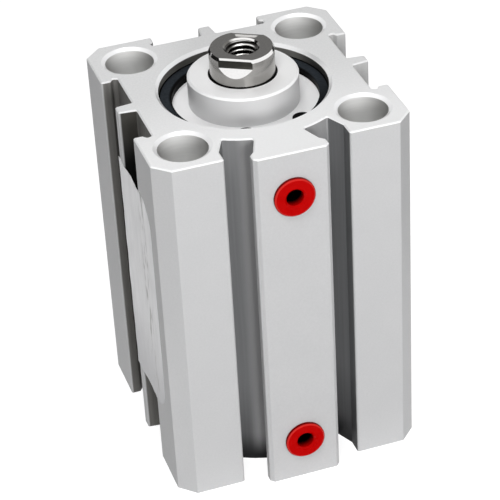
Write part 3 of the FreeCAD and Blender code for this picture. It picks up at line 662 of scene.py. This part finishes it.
def spring_steel():
    """Dark phosphated spring steel, painted black as shade on its upright walls, at the inner and outer
    edges of its flat face and on the front part of that face.
    """
    made, tree, bsdf = shader("spring_steel", {"Specular IOR Level": 0.02})
    inner_limits, outer_radius = (11.2 * MM, 11.6 * MM), 12.8 * MM
    rear_limits = (-10 * MM, 1 * MM)
    x, y, _ = place_parts(tree)
    grain = noise_value(tree, scale=2500.0, detail=3.0)
    from_axis = reach(tree, x, y)
    # Painted shade: the ring is black on its upright walls, at the inner and outer edges of its flat
    # face and on the front part of that face.
    ring = times(tree, step_up(tree, from_axis, *inner_limits), below(tree, from_axis, outer_radius))
    face = times(tree, ring, step_up(tree, upward_share(tree), *LEVEL_FACE))
    face = times(tree, face, step_up(tree, y, *rear_limits))
    flat = two_colours(tree, grain, (0.010, 0.012, 0.015), (0.038, 0.045, 0.053))
    colour = mixed_colour(tree, face, (0.001, 0.001, 0.001), flat)
    paint(tree, bsdf, colour, spread(tree, grain, 0.35, 0.5), [(grain, 0.004 * MM)])
    return made


def plug_zones(tree):
    """Shares of a plug's zones: the rim's side, its bevel and the depth of the hole."""
    hole_depths = (0.3 * MM, 1.8 * MM)
    x, y, z = place_parts(tree)
    middle = BARREL_TOP / 2
    from_middle = size_of(tree, minus(tree, z, middle))
    from_port = reach(tree, x, minus(tree, from_middle, max(PORT_HEIGHTS) - middle))
    depth = plus(tree, y, PLUG_FACE)
    in_hole = below(tree, from_port, PLUG_HOLE_RADIUS + SKIN)
    return {
        "rim": above(tree, from_port, PLUG_RADIUS - SKIN),
        "bevel": above(tree, from_port, PLUG_RADIUS - PLUG_BEVEL + SKIN),
        "hole": times(tree, in_hole, step_up(tree, depth, *hole_depths)),
    }


def plug_plastic():
    """Moulded glossy red plastic with a painted highlight on its bevel and painted shade in its hole
    and at its rim.
    """
    made, tree, bsdf = shader("plug_plastic", {"Specular IOR Level": 0.06})
    zones = plug_zones(tree)
    clouds = noise_value(tree, scale=900.0, detail=3.0)
    red = two_colours(tree, clouds, (0.42, 0.0, 0.0), (0.50, 0.001, 0.001))
    # Painted highlight on the bevel, painted shade on the rim's side and down the hole.
    tones = (("bevel", (0.58, 0.022, 0.018)), ("rim", (0.16, 0.0, 0.0)), ("hole", (0.002, 0.0, 0.0)))
    colour = layered(tree, zones, red, tones)
    roughness = shifted(tree, spread(tree, clouds, 0.20, 0.30), zones["bevel"], -0.12)
    paint(tree, bsdf, colour, roughness, [(clouds, 0.006 * MM)])
    return made


def rubber(name, dark, light):
    """Moulded rubber or plastic with a dusty bloom."""
    made, tree, bsdf = shader(name, {})
    grain = noise_value(tree, scale=4000.0, detail=4.0)
    colour = two_colours(tree, grain, dark, light)
    paint(tree, bsdf, colour, spread(tree, grain, 0.55, 0.75), [(grain, 0.01 * MM)])
    return made


def sintered_bronze():
    """Bronze with fine pores."""
    made, tree, bsdf = shader("bush_bronze", {"Metallic": 0.9})
    pores = noise_value(tree, scale=6000.0, detail=4.0)
    colour = two_colours(tree, pores, (0.30, 0.20, 0.10), (0.55, 0.39, 0.20))
    paint(tree, bsdf, colour, spread(tree, pores, 0.35, 0.6), [(pores, 0.01 * MM)])
    return made


def screw_steel():
    """Turned dark steel."""
    made, tree, bsdf = shader("screw_steel", {"Metallic": 1.0})
    lines = ring_value(tree, scale=900.0, distortion=2.0)
    colour = two_colours(tree, lines, (0.30, 0.30, 0.31), (0.42, 0.42, 0.42))
    paint(tree, bsdf, colour, spread(tree, lines, 0.3, 0.45), [(lines, 0.003 * MM)])
    return made


def foil():
    """Bare silver sticker film: scuffed, darker low down, rubbed beside the slot's front edge."""
    made, tree, bsdf = shader("foil_film", {"Metallic": 0.2, "Specular IOR Level": 0.2})
    bright_limits, streak_limits = (11 * MM, 30 * MM), (0.46, 0.66)
    rubbed_from, rubbed_to, soft = -11.6 * MM, -8.8 * MM, 1.0 * MM
    upright_stretch = (1, 1, 0.25)
    _, y, z = place_parts(tree)
    scuffs = noise_value(tree, scale=700.0, stretch=upright_stretch, detail=5.0)
    film = two_colours(tree, scuffs, (0.75, 0.75, 0.765), (0.96, 0.96, 0.965))
    film = mixed_colour(tree, step_up(tree, z, *bright_limits), (0.58, 0.58, 0.595), film)
    rubbed = band(tree, y, (rubbed_from, rubbed_from + soft), (rubbed_to, rubbed_to + soft))
    wear = noise_value(tree, scale=900.0, stretch=upright_stretch, detail=4.0)
    streaks = step_up(tree, wear, *streak_limits)
    colour = mixed_colour(tree, times(tree, rubbed, streaks), film, (0.48, 0.475, 0.47))
    paint(tree, bsdf, colour, spread(tree, scuffs, 0.55, 0.4), [(scuffs, 0.01 * MM)])
    return made


FINISHES = {
    "barrel_aluminium": barrel_aluminium(),
    "cover_aluminium": cover_aluminium(),
    "rod_steel": rod_steel(),
    "spring_steel": spring_steel(),
    "plug_plastic": plug_plastic(),
    "seal_rubber": rubber("seal_rubber", (0.012, 0.012, 0.013), (0.03, 0.03, 0.032)),
    "bush_bronze": sintered_bronze(),
    "wear_plastic": rubber("wear_plastic", (0.20, 0.16, 0.10), (0.34, 0.28, 0.19)),
    "magnet_rubber": rubber("magnet_rubber", (0.03, 0.027, 0.027), (0.07, 0.065, 0.062)),
    "screw_steel": screw_steel(),
}


def dress_nodes():
    """Give every CAD node the finish of its material slot."""
    for part in frame["record"]["subparts"]:
        slots = nodes[part["node"]].data.materials
        for index in range(len(slots)):
            slots[index] = FINISHES[part["material_slot"]]


def scene_object(name, content):
    """A new object in the scene."""
    made = bpy.data.objects.new(name, content)
    bpy.context.scene.collection.objects.link(made)
    return made


def shaded_object(name, mesh, material, smooth):
    """A new object of one material, with smooth or plane faces."""
    mesh.materials.append(material)
    for polygon in mesh.polygons:
        polygon.use_smooth = smooth
    return scene_object(name, mesh)


def plane_faced(name, points, faces, material):
    """A new object with plane faces, from its points."""
    mesh = bpy.data.meshes.new(name)
    mesh.from_pydata(points, [], faces)
    return shaded_object(name, mesh, material, smooth=False)


def thread_ridge(name, radius, pitch, start, length, place, material, body, mouth=0.0):
    """The helical ridge of an inside thread, from a start depth down its own -Z axis, set by a matrix.

    A mouth radius is that of a countersink, which cuts the ridge short. The ridge's height and its
    half widths at the foot, on the flank and at the crest are in pitches.
    """
    steps_per_turn = 48
    fade_turns = 0.5
    least_depth, mouth_gap = 0.02 * MM, 0.01 * MM
    crest_height, root_depth = 0.54, 0.01
    foot_half, flank_half, crest_half = 0.47, 0.285, 0.10
    crest = radius - crest_height * pitch
    foot = radius + root_depth * pitch
    flank = [(foot, foot_half), ((foot + crest) / 2, flank_half), (crest, crest_half)]
    profile = [(full, -along) for full, along in flank] + flank[::-1]
    turns = length / pitch - 1.0
    count = int(turns * steps_per_turn)
    points = []
    for step in range(count + 1):
        angle = 2 * math.pi * step / steps_per_turn
        fade_in = 1.0 if mouth else step / steps_per_turn / fade_turns
        fade = min(1.0, fade_in, (count - step) / steps_per_turn / fade_turns)
        middle = start + pitch * (0.5 + step / steps_per_turn)
        for full, along in profile:
            depth = max(least_depth, middle + along * pitch)
            here = max(foot + (full - foot) * fade, mouth - depth + mouth_gap)
            spot = Vector((here * math.cos(angle), here * math.sin(angle), -depth))
            points.append(place @ spot)
    width = len(profile)
    faces = []
    for step in range(count):
        for column in range(width):
            first = step * width + column
            second = step * width + (column + 1) % width
            faces.append((first, second, second + width, first + width))
    faces.append(tuple(reversed(range(width))))
    faces.append(tuple(range(count * width, count * width + width)))
    made = plane_faced(name, points, faces, material)
    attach(made, body)


def rod_end_thread():
    """The thread in the rod end, from above its countersink."""
    place = Matrix.Translation((0, 0, ROD_TOP)) @ Matrix.Rotation(ROD_THREAD_TURN, 4, "Z")
    thread_ridge("rod_thread", ROD_THREAD_RADIUS, M5_PITCH, -M5_PITCH, ROD_THREAD_LENGTH + M5_PITCH,
                 place, thread_steel(), "rod", ROD_MOUTH_RADIUS)


def barrel_thread(name, radius, pitch, start, length, place):
    """A thread cut into the barrel."""
    thread_ridge(name, radius, pitch, start, length, place,
                 FINISHES["barrel_aluminium"], "barrel")


def corner_threads():
    """Threads at both ends of the corner holes."""
    length = BOLT_THREAD_TOP - BOLT_THREAD_END
    front = Matrix.Translation((0, 0, BOLT_THREAD_TOP))
    rear = Matrix.Translation((0, 0, BARREL_TOP - BOLT_THREAD_TOP)) @ Matrix.Rotation(math.pi, 4, "X")
    for column in (-1, 1):
        for row in (-1, 1):
            corner = ("right" if column > 0 else "left") + ("_back" if row > 0 else "_front")
            across = Matrix.Translation((column * BOLT_OFFSET, row * BOLT_OFFSET, 0))
            for end, place in (("front", front), ("rear", rear)):
                barrel_thread(f"bolt_thread_{corner}_{end}", BOLT_THREAD_RADIUS, M6_PITCH, 0, length,
                              across @ place)


def port_threads():
    """Threads in the two ports."""
    start = 0.3 * MM
    inward = Matrix.Rotation(math.pi / 2, 4, "X")
    for name, height in zip(("upper", "lower"), PORT_HEIGHTS):
        place = Matrix.Translation((0, -PORT_FACE, height)) @ inward
        barrel_thread(f"port_thread_{name}", PORT_RADIUS, M5_PITCH, start, PORT_LENGTH - start, place)


def foil_sticker():
    """A bare film across one slot of the left face, from the centre rib to the front post."""
    rear, front = 1.4 * MM, -14.4 * MM
    low, high = 12.2 * MM, 50.9 * MM
    corner = 5.0 * MM
    thickness, lift = 0.05 * MM, 0.02 * MM
    rib_edge, post_edge = -0.95 * MM, -8.8 * MM
    sag = 0.10 * MM
    torn_depth, torn_waves, torn_line = 0.5 * MM, 9, (5.3, 0.4)
    wave_depth, edge_waves, edge_line = 0.35 * MM, 300, (1.7, 0.6)
    wrinkle_depth, wrinkles_across, wrinkles_up, wrinkle_layer = 0.10 * MM, 420, 130, 3.1
    pressed_share, inward_limit = 0.25, 0.015 * MM
    columns, rows = 40, 96
    weld = 1e-6
    grid = bmesh.new()
    lines = []
    for row in range(rows + 1):
        line = []
        for column in range(columns + 1):
            u, v = column / columns, row / rows
            torn = noise.noise(Vector((torn_line[0], u * torn_waves, torn_line[1]))) * torn_depth
            z = low + (high + torn - low) * v
            wavy = noise.noise(Vector((*edge_line, z * edge_waves))) * wave_depth
            y = rear + wavy + (front - rear - wavy) * u
            inset = min(corner, max(0.0, corner - min(z - low, high + torn - z)))
            pull = corner - math.sqrt(max(0.0, corner * corner - inset * inset))
            y = max(y, front + pull)
            across = (y - rib_edge) / (post_edge - rib_edge)
            over_slot = 0 < across < 1
            dip = sag * math.sin(math.pi * across) if over_slot else 0.0
            wrinkle_place = Vector((y * wrinkles_across, z * wrinkles_up, wrinkle_layer))
            wrinkle = noise.noise(wrinkle_place) * wrinkle_depth
            wrinkle *= 1.0 if over_slot else pressed_share
            inward = min(inward_limit, wrinkle if dip > 0 else -abs(wrinkle))
            line.append(grid.verts.new((-BARREL_HALF - lift + dip + inward, y, z)))
        lines.append(line)
    for under, over in zip(lines, lines[1:]):
        for column in range(columns):
            grid.faces.new((under[column], under[column + 1], over[column + 1], over[column]))
    bmesh.ops.remove_doubles(grid, verts=grid.verts, dist=weld)
    bmesh.ops.recalc_face_normals(grid, faces=grid.faces)
    mesh = bpy.data.meshes.new("foil_sticker")
    grid.to_mesh(mesh)
    grid.free()
    made = shaded_object("foil_sticker", mesh, foil(), smooth=True)
    solid = made.modifiers.new("thickness", "SOLIDIFY")
    solid.thickness = thickness
    solid.offset = 0.0
    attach(made, "barrel")


def outward_from(azimuth, elevation):
    """The way from the barrel to a place about it; azimuth 0 is the port side, -90 degrees the left."""
    level = math.cos(elevation)
    return Vector((math.sin(azimuth) * level, -math.cos(azimuth) * level, math.sin(elevation)))


def camera():
    """The photograph's viewpoint."""
    lens = bpy.data.cameras.new("camera")
    lens.sensor_width = SENSOR_WIDTH
    lens.lens = CAMERA_FOCAL / IMAGE_SIZE * SENSOR_WIDTH
    lens.clip_start = CAMERA_CLIP
    made = scene_object("camera", lens)
    back = outward_from(CAMERA_AZIMUTH, CAMERA_ELEVATION)
    flat = Vector((math.cos(CAMERA_AZIMUTH), math.sin(CAMERA_AZIMUTH), 0))
    upright = back.cross(flat)
    right = flat * math.cos(CAMERA_ROLL) + upright * math.sin(CAMERA_ROLL)
    up = upright * math.cos(CAMERA_ROLL) - flat * math.sin(CAMERA_ROLL)
    spot = right * CAMERA_RIGHT + up * CAMERA_UP + back * CAMERA_DISTANCE + Vector((0, 0, BARREL_TOP))
    made.matrix_world = Matrix((
        (right.x, up.x, back.x, spot.x),
        (right.y, up.y, back.y, spot.y),
        (right.z, up.z, back.z, spot.z),
        (0, 0, 0, 1),
    ))
    bpy.context.scene.camera = made


def seen_as_background(tree):
    """1 for camera, glossy and transmission rays, 0 for the rest."""
    path = tree.nodes.new("ShaderNodeLightPath")
    rays = ("Is Camera Ray", "Is Glossy Ray", "Is Transmission Ray")
    return largest(tree, *[path.outputs[ray] for ray in rays])


def world():
    """White where it is seen, nearly dark where it lights."""
    lighting_strength, seen_strength = 0.02, 1.0
    made = bpy.data.worlds.new("studio")
    bpy.context.scene.world = made
    made.use_nodes = True
    tree = made.node_tree
    background = tree.nodes["Background"]
    background.inputs["Color"].default_value = WHITE
    strength = spread(tree, seen_as_background(tree), lighting_strength, seen_strength)
    link(tree, strength, background.inputs["Strength"])


def floor():
    """A pale floor that reads white and keeps the shadow."""
    size = 3.0
    pale, shadow_grey = (0.85, 0.85, 0.85, 1), (0.35, 0.35, 0.35, 1)
    glow_strength = 0.86
    finish, tree, bsdf = shader("floor", {"Base Color": pale, "Roughness": 1.0})
    glow = tree.nodes.new("ShaderNodeEmission")
    glow.inputs["Strength"].default_value = glow_strength
    shadow = tree.nodes.new("ShaderNodeBsdfDiffuse")
    shadow.inputs["Color"].default_value = shadow_grey
    seen = tree.nodes.new("ShaderNodeAddShader")
    link(tree, glow.outputs["Emission"], seen.inputs[0])
    link(tree, shadow.outputs["BSDF"], seen.inputs[1])
    mix = tree.nodes.new("ShaderNodeMixShader")
    link(tree, seen_as_background(tree), mix.inputs["Fac"])
    link(tree, bsdf.outputs["BSDF"], mix.inputs[1])
    link(tree, seen.outputs["Shader"], mix.inputs[2])
    link(tree, mix.outputs["Shader"], tree.nodes["Material Output"].inputs["Surface"])
    corners = [(-size, -size, 0), (size, -size, 0), (size, size, 0), (-size, size, 0)]
    made = plane_faced("floor", corners, [(0, 1, 2, 3)], finish)


def about_rod(direction):
    """A place at some distance from the rod end, turned to face it."""
    distance = 0.3
    outward = Vector(direction).normalized()
    facing = (-outward).to_track_quat("Z", "Y").to_matrix().to_4x4()
    return Matrix.Translation(Vector((0, 0, ROD_TOP)) + outward * distance) @ facing


def on_floor(x, y):
    """A place just above the floor."""
    lift = 0.0005
    return Matrix.Translation((x, y, lift))


def flag(name, place, half_width, half_height, tone):
    """A dark studio card that only reflections show."""
    corners = [(-half_width, -half_height), (half_width, -half_height),
               (half_width, half_height), (-half_width, half_height)]
    points = [place @ Vector((x, y, 0)) for x, y in corners]
    finish, _, _ = shader(name, {
        "Base Color": BLACK,
        "Specular IOR Level": 0.0,
        "Emission Color": WHITE,
        "Emission Strength": tone,
    })
    made = plane_faced(name, points, [(0, 1, 2, 3)], finish)
    made.visible_camera = False
    made.visible_diffuse = False
    made.visible_shadow = False


def cards():
    """Cards behind and left of the rod end, and cards on the floor round the barrel."""
    flag("flag_back", about_rod((0.24, 0.79, 0.56)), half_width=0.11, half_height=0.11, tone=0.24)
    flag("flag_left", about_rod((-0.90, 0.40, 0.15)), half_width=0.16, half_height=0.16, tone=0.01)
    flag("flag_rear_floor", on_floor(0.0, 0.48), half_width=0.70, half_height=0.32, tone=0.01)
    flag("flag_front_floor", on_floor(0.015, -0.075), half_width=0.05, half_height=0.05, tone=0.03)
    flag("flag_left_floor", on_floor(-0.16, -0.06), half_width=0.10, half_height=0.09, tone=0.02)
    flag("flag_right_floor", on_floor(0.16, 0.02), half_width=0.09, half_height=0.09, tone=0.02)


def area_lamp(name, azimuth, elevation, power):
    """A soft round lamp on a sphere about the barrel, its angles in degrees."""
    distance, size = 0.9, 0.4
    middle = Vector((0, 0, BARREL_TOP / 2))
    outward = outward_from(math.radians(azimuth), math.radians(elevation))
    lamp = bpy.data.lights.new(name, "AREA")
    lamp.shape = "DISK"
    lamp.size = size
    lamp.energy = power
    made = scene_object(name, lamp)
    made.location = middle + outward * distance
    made.rotation_euler = (-outward).to_track_quat("-Z", "Y").to_euler()
    return made


def lights():
    """Four lamps; the key lamp makes no highlight of its own."""
    key = area_lamp("key", azimuth=-30, elevation=60, power=3.4)
    key.visible_glossy = False
    area_lamp("over", azimuth=0, elevation=85, power=1.2)
    area_lamp("back", azimuth=180, elevation=60, power=1.7)
    area_lamp("front", azimuth=0, elevation=12, power=4.8)


dress_nodes()
rod_end_thread()
corner_threads()
port_threads()
foil_sticker()
camera()
world()
floor()
cards()
lights()
bpy.context.scene.view_settings.view_transform = "Standard"
